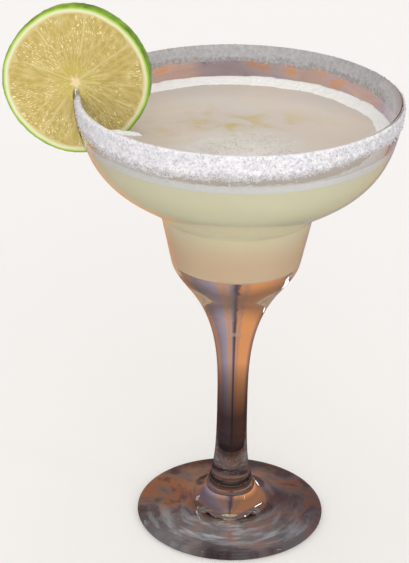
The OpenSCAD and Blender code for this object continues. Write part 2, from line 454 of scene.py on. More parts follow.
@dataclass(frozen=True)
class GlassForm:
    """Sizes of the glass in millimetres, and its outline as curves of radius and height."""

    height: float = 172.0
    rim_r: float = 58.0
    rim_wall: float = 1.8
    bowl_h: float = 43.5
    step_r: float = 28.0
    cup_low_r: float = 24.0
    cup_h: float = 19.0
    cup_wall: float = 2.6
    floor_drop: float = 2.4
    step_ease: float = 1.8
    waist_r: float = 5.75
    waist_z: float = 48.0
    shoulder_r: float = 18.8
    shoulder_drop: float = 9.5
    foot_r: float = 36.0
    foot_edge_t: float = 2.8
    foot_ring_w: float = 7.0
    foot_hollow: float = 1.8
    # Bezier handles, as shares of the run of the curve that they bend, radius first.
    bowl_pulls: tuple[tuple[float, float], ...] = ((0.367, 0.253), (0.946, 0.278))
    hollow_pulls: tuple[tuple[float, float], ...] = ((0.4, 1.0), (0.6, 0.2))
    flare_pull: tuple[float, float] = (0.21, 0.09)
    waist_pulls: tuple[float, float] = (0.2, 0.36)
    shoulder_pull: tuple[float, float] = (0.3, 0.31)
    shoulder_pitch: tuple[float, float] = (0.58, 0.81)
    shoulder_reach: float = 4.0

    @property
    def step_z(self) -> float:
        """Height of the step between cup and bowl."""
        return self.height - self.bowl_h

    @property
    def cup_low_z(self) -> float:
        """Height of the lower cup's bottom edge."""
        return self.step_z - self.cup_h

    @property
    def lip_z(self) -> float:
        """Height at which the rounded lip starts."""
        return self.height - self.rim_wall / 2

    def wall_outside(self) -> Array:
        """The wall from the cup's bottom to the lip: a straight cup, an eased step, a Bezier bowl."""
        low = np.array([self.cup_low_r, self.cup_low_z])
        step = np.array([self.step_r, self.step_z])
        run = np.array([self.rim_r - self.step_r, self.bowl_h])
        low_handle, top_handle = (step + pull * run for pull in self.bowl_pulls)
        cup_end = step - self.step_ease * (step - low) / np.linalg.norm(step - low)
        bowl_low = step + self.step_ease * (low_handle - step) / np.linalg.norm(low_handle - step)
        top = np.array([self.rim_r, self.lip_z])
        straight = low + np.linspace(0, 1, 8)[:, None] * (cup_end - low)
        eased = bezier(cup_end, step, step, bowl_low, 8)
        return np.concatenate([straight, eased, bezier(bowl_low, low_handle, top_handle, top, 44)])

    def wall_inside(self) -> Array:
        """The outside moved square to itself, by a wall that thins evenly towards the lip."""
        outside = self.wall_outside()
        along = np.gradient(outside, axis=0)
        along /= np.linalg.norm(along, axis=1)[:, None]
        inwards = np.stack([-along[:, 1], along[:, 0]], 1)
        inwards[-1] = (-1, 0)
        share = (outside[:, 1] - self.cup_low_z) / (self.lip_z - self.cup_low_z)
        wall = self.cup_wall + (self.rim_wall - self.cup_wall) * share
        return outside + wall[:, None] * inwards

    def cavity_floor(self) -> Array:
        """Quarter ellipse from the cup's inside wall down to the axis."""
        low = self.wall_inside()[0]
        drop = low[1] - (self.cup_low_z - self.floor_drop)
        return arc(np.array([0, low[1]]), low[0], drop, 0, -90, 24)

    def foot_and_stem(self) -> Array:
        """From the axis under the foot, round its edge, and up the stem to the cup."""
        edge_r = self.foot_edge_t / 2
        ring_in = np.array([self.foot_r - edge_r - self.foot_ring_w, 0])
        hollow_handles = np.array(self.hollow_pulls) * (self.foot_r, self.foot_hollow)
        hollow = bezier(np.array([0, self.foot_hollow]), *hollow_handles, ring_in, 12)
        edge_low = np.array([self.foot_r - edge_r, 0])
        edge = arc(edge_low + (0, edge_r), edge_r, edge_r, -90, 80, 10)
        waist = np.array([self.waist_r, self.waist_z])
        shoulder = np.array([self.shoulder_r, self.cup_low_z - self.shoulder_drop])
        cup_low = np.array([self.cup_low_r, self.cup_low_z])
        run = shoulder[1] - waist[1]
        flare_handle = self.flare_pull * np.array([self.foot_r, self.waist_z]) + (0, self.foot_edge_t)
        below, above = self.waist_pulls
        flare = bezier(edge[-1], flare_handle, waist * (1, below), waist, 40)
        inwards, down = self.shoulder_pull
        shoulder_handle = shoulder * (inwards, 1) - (0, down * run)
        rise = bezier(waist, waist + (0, above * run), shoulder_handle, shoulder, 32)
        pitch = np.array(self.shoulder_pitch) / math.hypot(*self.shoulder_pitch)
        cup_slope = np.array([self.step_r - self.cup_low_r, self.cup_h])
        cup_slope /= np.linalg.norm(cup_slope)
        out, back = self.shoulder_reach * pitch, self.shoulder_reach * cup_slope
        blend = bezier(shoulder, shoulder + out, cup_low - back, cup_low, 10)
        return np.concatenate([hollow, edge_low[None], edge, flare, rise, blend])

    def lip(self, end: float, steps: int) -> Array:
        """The rounded lip, from its outside up to an angle in degrees."""
        half = self.rim_wall / 2
        return arc(np.array([self.rim_r - half, self.lip_z]), half, half, 0, end, steps)

    def outline(self) -> Array:
        """The whole section, from next to the axis below to next to the axis inside the cup."""
        lip = self.lip(180, 12)
        inside = self.wall_inside()[:-1][::-1]
        return np.concatenate(
            [self.foot_and_stem(), self.wall_outside()[1:], lip, inside, self.cavity_floor()[:-1]]
        )

    def outside_r(self, z: Array) -> Array:
        """Outer radius of cup, bowl and lip.

        Args:
            z: Heights.

        Returns:
            The radius at each.
        """
        line = np.concatenate([self.wall_outside(), self.lip(90, 8)])
        return np.interp(z, line[:, 1], line[:, 0])

    def inside_r(self, z: Array) -> Array:
        """Inner radius of the cavity at height z."""
        line = np.concatenate([self.cavity_floor()[::-1], self.wall_inside()])
        return np.interp(z, line[:, 1], line[:, 0])


# ---- finishes ------------------------------------------------------------------------------------


@dataclass(frozen=True)
class PressedGlass:
    """Clear soda-lime glass, pressed in a mould and fire polished: sharp gloss, faint waviness."""

    tint: str = "#fbfcfb"
    ior: float = 1.5
    wave_mm: float = 22.0

    def material(self) -> Material:
        """Clear glass whose skin waves a little, which bends what is seen through it."""
        material, tree, place = new_material("pressed_soda_lime_glass")
        waves = noise_at(tree, place, self.wave_mm, detail=1.0)
        bump = add_node(tree, "Bump", {"Strength": 0.1, "Distance": 0.15 * MM, "Height": waves})
        smear = map_range(tree, waves, (0.0, 1.0), (0.0, 0.03))
        skin = add_node(
            tree, "BsdfPrincipled",
            {
                "Base Color": linear(self.tint), "IOR": self.ior, "Transmission Weight": 1.0,
                "Normal": bump, "Roughness": smear
            }
        )
        add_node(tree, "OutputMaterial", {"Surface": skin})
        return material


@dataclass(frozen=True)
class CloudyDrink:
    """Lime juice, orange liqueur and tequila, shaken: pulp and fine bubbles make it milky."""

    bowl: str = "#fcf7da"
    cup: str = "#f0d6b8"
    warm: str = "#d6c8ba"
    cool: str = "#cfc6bc"
    zest: str = "#c9b67e"
    lace: str = "#dcd9d2"
    ior: float = 1.34
    turn_z_mm: float = 124.0
    turn_run_mm: float = 22.0
    cloud_mm: float = 22.2
    drift_mm: float = 11.76
    broad_mm: float = 45.45
    fleck_mm: float = 2.38

    def side(self) -> Material:
        """What shows through the wall: pale yellow-green in the bowl, turning to a darker tan lower down
        in the cup, painted shade where less light reaches the drink.
        """
        material, tree, place = new_material("cloudy_lime_drink_behind_glass")
        axes = add_node(tree, "SeparateXYZ", {"Vector": place})
        # Painted shade: the colour turns from pale in the bowl to a darker tan lower down, in the cup.
        share = add_node(
            tree, "MapRange",
            {
                "interpolation_type": "SMOOTHERSTEP",
                "From Min": (self.turn_z_mm - self.turn_run_mm / 2) * MM,
                "From Max": (self.turn_z_mm + self.turn_run_mm / 2) * MM, "Value": axes.outputs["Z"]
            }
        )
        haze = noise_at(tree, place, self.cloud_mm, detail=3.0)
        drift = maths(tree, "MULTIPLY_ADD", haze, 0.3, -0.15)
        mixed = maths(tree, "ADD", share, drift, clamp=True)
        colour = add_node(
            tree, "Mix", {"data_type": "RGBA", 6: linear(self.cup), 7: linear(self.bowl), 0: mixed}
        )
        body = add_node(
            tree, "BsdfPrincipled",
            {
                "Roughness": 0.6, "IOR": self.ior, "Specular IOR Level": 0.1, "Subsurface Weight": 0.35,
                "Subsurface Radius": (1.0, 0.9, 0.6), "Subsurface Scale": 4 * MM, "Base Color": colour
            }
        )
        add_node(tree, "OutputMaterial", {"Surface": body})
        return material

    def surface(self) -> Material:
        """The open surface: wet and level, beige with faint yellow-green drifts and white haze."""
        material, tree, place = new_material("cloudy_lime_drink_surface")
        drifts = noise_at(tree, place, self.drift_mm, detail=3.0, roughness=0.6, distortion=0.5)
        stain = add_node(tree, "Attribute", {"attribute_name": "stain"})
        picked = map_range(tree, drifts, (0.47, 0.66), (0.0, 1.0))
        yellowed = maths(tree, "MULTIPLY", picked, stain.outputs["Fac"])
        broad = noise_at(tree, place, self.broad_mm, detail=2.0)
        ramp = set_ramp(add_node(tree, "ValToRGB", {"Fac": broad}), [(0.35, self.warm), (0.65, self.cool)])
        haze = add_node(tree, "Attribute", {"attribute_name": "haze"})
        flecks = noise_at(tree, place, self.fleck_mm, detail=4.0)
        lace = maths(tree, "MULTIPLY", haze.outputs["Fac"], flecks, clamp=True)
        colour = painted(tree, ramp, [(yellowed, self.zest), (lace, self.lace)])
        body = add_node(
            tree, "BsdfPrincipled",
            {
                "Roughness": 0.12, "IOR": self.ior, "Subsurface Weight": 0.3,
                "Subsurface Radius": (1.0, 0.9, 0.7), "Subsurface Scale": 3 * MM, "Base Color": colour
            }
        )
        add_node(tree, "OutputMaterial", {"Surface": body})
        return material


@dataclass(frozen=True)
class FrothFinish:
    """Fine bubbles shaken into the drink: they scatter light, so they look white and soft."""

    thick: str = "#ffffff"
    thin: str = "#f8f8f8"
    wet: str = "#c1b8a9"
    ior: float = 1.33
    bubble_mm: float = 0.7

    def material(self) -> Material:
        """White where bubbles pile up, and drink-coloured where "wet" says the froth is thin."""
        material, tree, place = new_material("fine_white_froth")
        cells = add_node(
            tree, "TexVoronoi", {"Scale": 1 / (self.bubble_mm * MM), "feature": "F1", "Vector": place}
        )
        ramp = set_ramp(add_node(tree, "ValToRGB", {"Fac": cells}), [(0.15, self.thick), (0.75, self.thin)])
        wet = add_node(tree, "Attribute", {"attribute_name": "wet"})
        colour = painted(tree, ramp, [(wet.outputs["Fac"], self.wet)])
        bump = add_node(
            tree, "Bump", {"Strength": 0.35, "Distance": 0.2 * MM, "invert": True, "Height": cells}
        )
        body = add_node(
            tree, "BsdfPrincipled",
            {
                "Roughness": 0.4, "IOR": self.ior, "Specular IOR Level": 0.3, "Subsurface Weight": 0.05,
                "Subsurface Radius": (1.0, 1.0, 0.95), "Subsurface Scale": 0.5 * MM, "Base Color": colour,
                "Normal": bump
            }
        )
        add_node(tree, "OutputMaterial", {"Surface": body})
        return material


@dataclass(frozen=True)
class SaltFinish:
    """Sea salt: small colourless crystals that glint, on a damp crust that thins out downwards."""

    crystal: str = "#d3d3d8"
    crust_high: str = "#ecebee"
    crust_low: str = "#d2d1d7"
    ior: float = 1.54
    grain_mm: float = 0.6
    patch_mm: float = 1.5
    frost_mm: float = 1.11

    def crystals(self) -> Material:
        """Clear but frosted grains, which let the glass's colours through a little."""
        material, tree, place = new_material("coarse_sea_salt_crystals")
        frost = noise_at(tree, place, self.frost_mm, detail=2.0)
        rough = map_range(tree, frost, (0.0, 1.0), (0.08, 0.45))
        body = add_node(
            tree, "BsdfPrincipled",
            {
                "Base Color": linear(self.crystal), "IOR": self.ior, "Transmission Weight": 0.06,
                "Roughness": rough
            }
        )
        add_node(tree, "OutputMaterial", {"Surface": body})
        return material

    def fines(self) -> Material:
        """The crust under the grains: dull white, and broken where the "cover" attribute is low."""
        material, tree, place = new_material("damp_salt_crust")
        grains = add_node(tree, "TexVoronoi", {"Scale": 1 / (self.grain_mm * MM), "Vector": place})
        specks = noise_at(tree, place, self.patch_mm, detail=4.0, roughness=0.7)
        ramp = set_ramp(
            add_node(tree, "ValToRGB", {"Fac": specks}), [(0.36, self.crust_low), (0.6, self.crust_high)]
        )
        bump = add_node(
            tree, "Bump", {"Strength": 0.3, "Distance": 0.2 * MM, "invert": True, "Height": grains}
        )
        spread = maths(tree, "MULTIPLY_ADD", specks, 1.4, -0.7)
        cover = add_node(tree, "Attribute", {"attribute_name": "cover"})
        alpha = maths(tree, "ADD", cover.outputs["Fac"], spread, clamp=True)
        body = add_node(
            tree, "BsdfPrincipled",
            {"Roughness": 0.45, "IOR": self.ior, "Base Color": ramp, "Normal": bump, "Alpha": alpha}
        )
        add_node(tree, "OutputMaterial", {"Surface": body})
        return material


@dataclass(frozen=True)
class LimeFinish:
    """A ripe lime, cut across: wet juice sacs between pale skins, white pith and waxy green peel."""

    flesh_dark: str = "#b19d56"
    flesh: str = "#bfac68"
    flesh_clear: str = "#cdbb7e"
    painted_glint_dash: str = "#fff6c8"
    painted_shade_streak: str = "#b09a52"
    heart: str = "#c6ba50"
    membrane: str = "#ccbc80"
    pith: str = "#dfe0bd"
    pith_green: str = "#c3d183"
    peel: str = "#8fb83e"
    peel_dark: str = "#557a1f"
    core: str = "#e2d0a0"
    ior: float = 1.37
    pore_mm: float = 1.3
    mottle_mm: float = 6.25
    patch_mm: float = 9.09

    def flesh_colour(self, tree: NodeTree, place: NodeSocket) -> Node:
        """Juice sacs: long radial cells of olive yellow, with painted highlights as bright dashes where
        light would catch them, and darker streaks of painted shade.

        The cells are drawn on "polar", which holds the distance from the core in centimetres and
        the angle in turns of 12 degrees, so that they lie along the radii and narrow to the core.

        Args:
            tree: The tree the nodes join.
            place: The wheel's own coordinates.

        Returns:
            The node that gives the colour.
        """
        polar = add_node(tree, "Attribute", {"attribute_name": "polar"})
        stretch = add_node(tree, "Mapping", {"Scale": (2.6, 2.4, 1.0), "Vector": polar.outputs["Vector"]})
        sacs = add_node(
            tree, "TexVoronoi", {"Scale": 1.0, "feature": "F1", "Randomness": 1.0, "Vector": stretch}
        )
        ramp = set_ramp(
            add_node(tree, "ValToRGB", {"Fac": sacs}),
            [(0.0, self.flesh_dark), (0.45, self.flesh), (0.9, self.flesh_clear)]
        )
        fine = add_node(tree, "Mapping", {"Scale": (7.0, 9.0, 1.0), "Vector": polar.outputs["Vector"]})
        dashes = add_node(tree, "TexNoise", {"Scale": 1.0, "Detail": 2.0, "Roughness": 0.6, "Vector": fine})
        # Painted highlights: the brightest dashes, in patches, turn pale yellow; painted shade: the dimmest
        # turn to darker streaks.
        picked = map_range(tree, dashes, (0.58, 0.66), (0.0, 0.95))
        shaded = map_range(tree, dashes, (0.45, 0.34), (0.0, 0.5))
        patches = noise_at(tree, place, self.patch_mm, detail=1.0)
        where = map_range(tree, patches, (0.38, 0.56))
        both = maths(tree, "MULTIPLY", picked, where)
        reach = add_node(tree, "SeparateXYZ", {"Vector": polar.outputs["Vector"]})
        inner = map_range(tree, reach.outputs["X"], (0.2, 0.9), (0.55, 0.0))
        return painted(tree, ramp, [(inner, self.heart), (shaded, self.painted_shade_streak), (both, self.painted_glint_dash)])

    def material(self) -> Material:
        """Flesh, membranes, pith and peel, told apart by the attributes of the cut wheel."""
        material, tree, place = new_material("fresh_cut_lime")
        flesh_mask = add_node(tree, "Attribute", {"attribute_name": "flesh"})
        depth = add_node(tree, "Attribute", {"attribute_name": "peel_depth"})
        mottle = noise_at(tree, place, self.mottle_mm, detail=3.0)
        wander = maths(tree, "MULTIPLY_ADD", mottle, 0.08, -0.04)
        shifted = maths(tree, "ADD", depth.outputs["Fac"], wander)
        # Depth below the peel's skin, in centimetres: skin, oil layer, green pith, white pith.
        layers = set_ramp(
            add_node(tree, "ValToRGB", {"Fac": shifted}),
            [
                (0.0, self.peel_dark), (0.03, self.peel), (0.055, self.peel), (0.085, self.pith_green),
                (0.15, self.pith), (0.26, self.membrane)
            ]
        )
        heart = add_node(tree, "Attribute", {"attribute_name": "heart"})
        white = painted(tree, layers, [(heart.outputs["Fac"], self.core)])
        cut = add_node(
            tree, "Mix",
            {"data_type": "RGBA", 0: flesh_mask.outputs["Fac"], 6: white, 7: self.flesh_colour(tree, place)}
        )
        skin_mask = add_node(tree, "Attribute", {"attribute_name": "skin"})
        pores = add_node(tree, "TexVoronoi", {"Scale": 1 / (self.pore_mm * MM), "Vector": place})
        skin = set_ramp(
            add_node(tree, "ValToRGB", {"Fac": mottle}), [(0.36, self.peel_dark), (0.66, self.peel)]
        )
        colour = add_node(tree, "Mix", {"data_type": "RGBA", 0: skin_mask.outputs["Fac"], 6: cut, 7: skin})
        bump = add_node(tree, "Bump", {"Strength": 0.25, "Distance": 0.2 * MM, "Height": pores})
        rough = map_range(tree, flesh_mask.outputs["Fac"], (0.0, 1.0), (0.34, 0.16))
        body = add_node(
            tree, "BsdfPrincipled",
            {
                "IOR": self.ior, "Subsurface Weight": 0.3, "Subsurface Radius": (1.0, 0.9, 0.35),
                "Subsurface Scale": 2.5 * MM, "Coat Weight": 0.25, "Coat Roughness": 0.08,
                "Base Color": colour, "Roughness": rough, "Normal": bump
            }
        )
        add_node(tree, "OutputMaterial", {"Surface": body})
        return material


# ---- sub-assemblies ------------------------------------------------------------------------------


@dataclass
class Glass:
    """The stemmed glass, one lathe form."""

    form: GlassForm
    columns: int = 288

    def build(self) -> Object:
        """Turns the outline round the axis and closes it at the foot's hollow and the cup's floor."""
        outline = self.form.outline()
        low = np.array([0, 0, self.form.foot_hollow])
        high = np.array([0, 0, self.form.cup_low_z - self.form.floor_drop])
        skin = shell(turned(outline, self.columns), low, high)
        return dress(skin.build("stem_glass", [PressedGlass().material()]), "glass")


@dataclass
class Drink:
    """The drink, out to just inside the wall's glass, with a level and slightly rippled surface."""

    form: GlassForm
    level: float = 158.6
    into_wall: float = 0.12
    ripple: float = 0.07
    haze_at: tuple[float, float] = (0.0, -18.0)
    haze_fade: tuple[float, float] = (9.0, 26.0)
    stain_at: tuple[float, float] = (-2.0, 6.0)
    stain_half: tuple[float, float] = (30.0, 17.0)
    columns: int = 256
    rings: int = 64

    def ripples(self, x: Array, y: Array) -> Array:
        """Two scales of smooth noise, 17 mm and 6 mm apart, at the ripple's height.

        Args:
            x, y: Where they are read.

        Returns:
            How far each point rises.
        """
        broad = value_noise(x / 17 + 9, y / 13 + 4, 3)
        small = value_noise(x / 6, y / 5, 8)
        return self.ripple * (broad + 0.35 * small)

    def build(self) -> Object:
        """A lathe form up the wall, then rings that run in over the surface to its middle."""
        wall = np.concatenate([self.form.cavity_floor()[::-1][1:], self.form.wall_inside()[1:]])
        wall = wall[wall[:, 1] < self.level - 0.3] + (self.into_wall, 0)
        rim = np.array([[self.form.inside_r(self.level) + self.into_wall, self.level]])
        side = turned(np.concatenate([wall, rim]), self.columns)
        radii = rim[0, 0] * (1 - np.linspace(0, 1, self.rings + 1)[1:-1])
        top = turned(np.stack([radii, np.full(len(radii), self.level)], 1), self.columns)
        calm = ease(rim[0, 0] - radii, 0, 4)[:, None]
        top[..., 2] += calm * self.ripples(top[..., 0], top[..., 1])
        grid = np.concatenate([side, top])
        far = np.hypot((grid[..., 0] - self.haze_at[0]) / 1.25, grid[..., 1] - self.haze_at[1])
        on_top = grid[..., 2] > self.level - 1
        haze = 1.6 * (1 - ease(far, *self.haze_fade)) * on_top
        off = (grid[..., :2] - self.stain_at) / self.stain_half
        stain = np.exp(-(off**2).sum(-1)) * on_top
        low = np.array([0, 0, self.form.cup_low_z - self.form.floor_drop - self.into_wall])
        middle = np.array([0, 0, self.level])
        skin = shell(grid, low, middle, {"haze": haze, "stain": stain})
        finish = CloudyDrink()
        piece = skin.build("cloudy_drink", [finish.side(), finish.surface()])
        sides = len(side) - 1
        which = np.zeros(len(piece.data.polygons), np.int32)
        which[sides * self.columns : len(skin.quads)] = 1
        which[len(skin.quads) + self.columns :] = 1
        piece.data.polygons.foreach_set("material_index", which)
        return dress(piece, "drink")


@dataclass
class Froth:
    """Froth: a collar that climbs the wall, a raft at the front, and a line along the lime wheel."""

    form: GlassForm
    level: float = 158.6
    width: float = 4.8
    height: float = 1.9
    into_wall: float = 0.1
    columns: int = 1080
    rows: int = 18
    sunk: float = 0.25
    # Each layer of bubbles: the share of its height that shows, and its spacing, fill and seed.
    layers: tuple[tuple[float, tuple[float, float, int]], ...] = (
        (0.75, (2.3, 0.42, 11)), (0.8, (1.3, 0.5, 21)), (1.0, (0.8, 0.55, 31))
    )
    # Each scale of the clumps that bubbles gather in: its weight, its width and its depth.
    clumps: tuple[tuple[float, float, float], ...] = ((0.7, 3.2, 2.4), (0.5, 1.3, 1.0), (0.45, 0.6, 0.6))

    def bubbles(self, x: Array, y: Array) -> Array:
        """Large, middling and small bubbles, the tallest of the three at each point."""
        return np.max([share * bubble_caps(x, y, *layer) for share, layer in self.layers], 0)

    def collar(self) -> Surface:
        """A ring whose top falls from the wall to the surface, its inner edge lobed by noise.

        At share s from the wall in, the top is height * (1 - s)^1.5 over the surface plus the
        bubbles, which fade at the wall and at the inner edge. Its underside is flat and sunk.
        """
        angles = around(self.columns)
        share = np.linspace(0, 1, self.rows)[:, None]
        width = self.width * (1 + 0.16 * ring_noise(angles, 9, 5)) * (1 + 0.10 * ring_noise(angles, 27.9, 6))
        crest = self.height * (1 + 0.14 * value_noise(18 * np.cos(angles) + 40, 18 * np.sin(angles), 7))
        wall = self.form.inside_r(self.level) + self.into_wall
        lean = self.form.inside_r(self.level + crest) - self.form.inside_r(self.level)
        r = wall + lean * (1 - share) ** 2 - share * width
        x, y = r * np.cos(angles), r * np.sin(angles)
        fade = np.clip(share * 8, 0.25, 1) * np.clip((1 - share) * 5, 0, 1)
        z = crest * (1 - share) ** 1.5 + 0.55 * fade * self.bubbles(x, y)
        z = z - 2 * self.sunk * ease(share, 0.85, 1)
        top = np.stack([x, y, self.level + z], -1)
        inner = top[-1:] * (1, 1, 0) + (0, 0, self.level - 3 * self.sunk)
        base = inner * (0, 0, 1) + polar_points(wall, angles, 0 * angles)
        climb = np.array([0, 0.06, 0.3, 0.6, 0.94])[:, None, None]
        grid = np.concatenate([base + climb * (top[:1] - base), top, inner])
        wet = np.concatenate([0 * climb[:, 0], 0.3 + 0 * share, [[0.3]]]) + 0 * angles
        return Surface(
            grid.reshape(-1, 3), grid_quads(len(grid), self.columns, wrap_rows=True),
            attributes={"wet": wet.ravel()}
        )

    def patch(
        self,
        middle: Sequence[float],
        half: Sequence[float],
        turn: float,
        rise: float,
        seed: int,
        cells: Sequence[int],
        lace: float,
        wet: float,
    ) -> Surface:
        """A closed raft of bubbles: an oval with a lobed edge, domed towards its middle.

        Where a noise of a few millimetres falls below a bound that grows towards the edge, the
        raft dips under the surface, so that the drink shows between clumps of bubbles.

        Args:
            middle: X and Y of its middle.
            half: Half length and half width.
            turn: Turn about the vertical, in degrees.
            rise: Height of its middle over the surface.
            seed: Picks its outline.
            cells: Rows and columns of its grid.
            lace: How open it is, from 0, closed, to 1.
            wet: How thin its bubbles lie, from 0, piled up, to 1.

        Returns:
            The surface.
        """
        rows, columns = cells
        angles = around(columns)
        share = np.linspace(1, 0, rows + 1)[:-1, None]
        lobes = 1 + 0.16 * ring_noise(angles, 2.2, seed, 30) + 0.09 * ring_noise(angles, 6, seed + 1, 60)
        u, v = share * lobes * half[0] * np.cos(angles), share * lobes * half[1] * np.sin(angles)
        c, s = math.cos(math.radians(turn)), math.sin(math.radians(turn))
        x, y = middle[0] + c * u - s * v, middle[1] + s * u + c * v
        clumps = sum(
            weight * value_noise(x / wide, y / deep, seed + step)
            for step, (weight, wide, deep) in enumerate(self.clumps, 2)
        )
        cover = ease(clumps - lace * (1.9 * share - 1.5), -0.05, 0.25) if lace else 1 + 0 * x
        dome = rise * (1 - share**2) ** 0.6
        z = dome * cover + cover * np.clip((1 - share) * 6, 0, 1) * 0.6 * self.bubbles(x, y)
        z = z - self.sunk * (1 - cover) - self.sunk * ease(share, 0.9, 1)
        top = np.stack([x, y, self.level + z], -1)
        base = np.stack([x[:1], y[:1], 0 * x[:1] + self.level - 3 * self.sunk], -1)
        foot = np.array([middle[0], middle[1], self.level - 3 * self.sunk])
        crown = np.array([middle[0], middle[1], self.level + rise])
        thin = wet * (0.75 + 0.25 * (1 - cover)) * np.clip(0.7 + 0.4 * share, 0, 1)
        wetness = np.concatenate([thin[:1], thin])
        return shell(np.concatenate([base, top]), foot, crown, {"wet": wetness})

    def build(self, lime: "LimeWheel") -> Object:
        """All the froth as one piece.

        Args:
            lime: The wheel, along which a line of froth gathers.

        Returns:
            The piece.
        """
        raft = self.patch((3.0, -24.0), (22.0, 26.5), 0, 0.10, 41, (150, 500), 0.62, 1.0)
        start, end = lime.waterline(self.form, self.level)
        middle, half = (start + end) / 2 + (0, 0.3), (end[0] - start[0]) / 2
        line = self.patch(middle, (half, 1.1), -2.0, 1.5, 51, (18, 260), 0.0, 0.0)
        skin = self.collar().joined(raft).joined(line)
        return dress(skin.build("froth", [FrothFinish().material()]), "foam")


class SaltPart(Enum):
    """The two layers of the salted rim."""

    CRUST = "salt_crust"
    CRYSTALS = "salt_crystals"


@dataclass
class SaltRim:
    """Coarse salt on the outside of the rim: a thin crust of fines under loose crystals."""

    form: GlassForm
    height: float = 7.6
    thickness: float = 1.1
    top_gap: float = 0.25
    columns: int = 900
    rows: int = 22
    lip_rows: int = 8
    crystals: int = 9000
    lip_share: float = 0.22
    bare_at: float = 318.0
    bare_half: float = 24.0
    pinched: tuple[float, float] = (1.5, 4.5)
    lip_lift: float = 0.15
    half_side: float = 0.135
    half_spread: float = 0.32
    half_limits: tuple[float, float] = (0.08, 0.30)
    seed: int = 7

    def depth(self, angles: Array) -> Array:
        """How far the salt reaches below the lip: waves, a bare stretch at the front right, and noise.

        Args:
            angles: Angles round the rim, from +X towards +Y.

        Returns:
            The depth at each.
        """
        waves = 1 - 0.18 * np.sin(angles) + 0.06 * np.sin(2 * angles + 0.52) + 0.04 * np.sin(5 * angles)
        bare = np.exp(-(((np.degrees(angles) % 360) - self.bare_at) / self.bare_half) ** 2)
        ragged = 0.07 * ring_noise(angles, 14, 2) + 0.05 * ring_noise(angles, 44, 3)
        return self.height * (waves - 0.38 * bare + ragged)

    def pressed(self, angles: Array) -> Array:
        """How much of its thickness the salt keeps: less where the lime wheel's slit pinches it."""
        off = np.abs((np.degrees(angles) % 360) - 180)
        return 0.35 + 0.65 * ease(off, *self.pinched)

    def facing(self, angles: Array) -> Array:
        """1 at the front left, where salt lies over the lip too, to 0 at the back right."""
        return ease(-np.sin(angles + 0.6), -0.5, 0.7)

    def crust(self) -> Surface:
        """A skin over the lip and down the wall's outside, and back along the glass.

        Over the lip a row lies at an angle that runs from the far end of the salt to level, and
        down the wall it lies at a share of the salt's depth. Its thickness there is
        thickness * 0.34 * sin(pi (0.12 + 0.8 s))^0.5, plus grains as small caps, and it thins to
        nothing at both ends.

        Returns:
            The skin, with how well it covers the glass as the attribute "cover".
        """
        angles = around(self.columns)
        share = (np.linspace(0, 1, self.rows) ** 1.3)[:, None]
        over = np.linspace(1, 0, self.lip_rows, endpoint=False)[:, None]
        tilt = over * np.radians(35 + 120 * self.facing(angles))
        low = self.form.lip_z - share * (self.depth(angles) - self.top_gap)
        along = angles * self.form.rim_r + 0 * np.concatenate([over, share])
        down = np.concatenate([self.form.lip_z + 2 * tilt, low])
        grains = bubble_caps(along, down, 0.8, 0.5, 61) + 0.6 * bubble_caps(along, down, 0.5, 0.5, 71)
        body = np.concatenate(
            [0.16 + 0 * tilt, 0.16 + 0.2 * np.sin(math.pi * (0.05 + 0.85 * share)) ** 0.5 + 0 * angles]
        )
        thick = self.thickness * self.pressed(angles) * body * (0.55 + 1.0 * grains)
        ends = np.concatenate([1 - ease(over, 0.6, 1.0), 1 - ease(share, 0.8, 1.0)])
        thick = thick * ends
        lip_r = self.form.rim_wall / 2
        skins = []
        for off in (0 * thick - 0.05, thick + 0.02):
            lip_off = off[: self.lip_rows] + lip_r
            r = self.form.rim_r - lip_r + lip_off * np.cos(tilt)
            z = self.form.lip_z + lip_off * np.sin(tilt)
            wall = self.form.outside_r(low) + off[self.lip_rows :]
            r, z = np.concatenate([r, wall]), np.concatenate([z, low])
            skins.append(polar_points(r, angles, z))
        grid = np.concatenate([skins[0][::-1], skins[1]])
        wall_cover = 1.35 - 1.0 * ease(share, 0.35, 1.0) + 0.15 * ring_noise(angles, 20, 4)
        lip_cover = 1.3 - 0.9 * ease(over, 0.5, 1.0) * (1 - 0.6 * self.facing(angles))
        cover = np.concatenate([lip_cover, wall_cover])
        return Surface(
            grid.reshape(-1, 3), grid_quads(len(grid), self.columns, wrap_rows=True)[:, ::-1],
            attributes={"cover": np.concatenate([cover[::-1], cover]).ravel()}
        )

    def grains(self) -> Surface:
        """Crystals: cubes with uneven sides, turned at random, half sunk in the crust.

        Each crystal's corners are the eight corners of a cube, scaled by three hashed lengths,
        each nudged a little, turned by a random rotation, and moved to its place on the wall.
        """
        rng = np.random.default_rng(self.seed)
        n = self.crystals
        angles = rng.uniform(0, 2 * math.pi, n)
        share = rng.beta(1.05, 1.25, n) * 1.18
        keep = rng.uniform(0, 1, n) < self.pressed(angles) * (1 - 0.75 * ease(share, 0.8, 1.18))
        angles, share = angles[keep], share[keep]
        n = len(angles)
        size = rng.lognormal(math.log(self.half_side), self.half_spread, n).clip(*self.half_limits)
        sides = size[:, None] * rng.uniform(0.65, 1.2, (n, 3))
        corners = np.array([[x, y, z] for x in (-1, 1) for y in (-1, 1) for z in (-1, 1)], float)
        spin, _ = np.linalg.qr(rng.normal(size=(n, 3, 3)))
        spin *= np.sign(np.linalg.det(spin))[:, None, None]
        z = self.form.height - self.top_gap - 0.1 - share * self.depth(angles)
        lift = rng.uniform(0.05, 0.42, n) * self.thickness * self.pressed(angles)
        r = self.form.outside_r(z) + np.minimum(lift + 0.3 * size, self.thickness)
